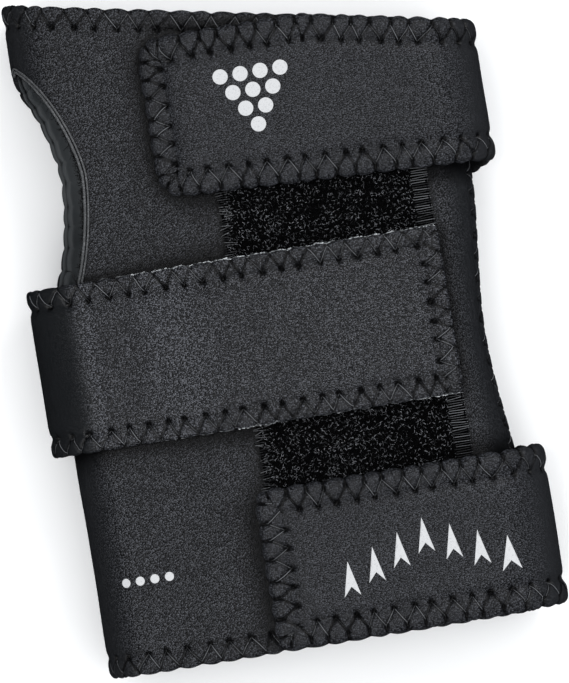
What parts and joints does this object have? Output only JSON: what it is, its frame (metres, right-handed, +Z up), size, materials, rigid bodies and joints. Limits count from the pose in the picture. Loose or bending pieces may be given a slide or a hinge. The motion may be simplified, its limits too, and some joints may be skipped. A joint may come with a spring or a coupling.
{
  "type": "bowling glove",
  "caption": "Padded leather bowling glove that braces the wrist: one folded panel with a thumb hole, closed over the back of the hand by tabs and a wrist strap on hook and loop.",
  "frame": {"origin": "on the resting surface, under the middle of the glove's box", "axes": "+Z up from the palm to the back of the hand, +Y along the hand to the finger end, +X across to the little-finger side"},
  "size_m": [0.1216, 0.171, 0.0354],
  "materials": {
    "leather": "pebbled, semi-matt",
    "strap_leather": "fine grain, satin",
    "lining": "smooth, satin",
    "loop_tape": "looped pile",
    "hook_tape": "hook tape"
  },
  "bodies": {
    "root": {"body_shell": "leather", "body_lining": "lining", "thumb_piping": "leather", "top_tab": "leather", "bottom_tab": "leather", "wrist_strap": "strap_leather", "loop_patch": "loop_tape", "top_tab_hook": "hook_tape", "wrist_strap_hook": "hook_tape", "bottom_tab_hook": "hook_tape"}
  },
  "joints": []
}
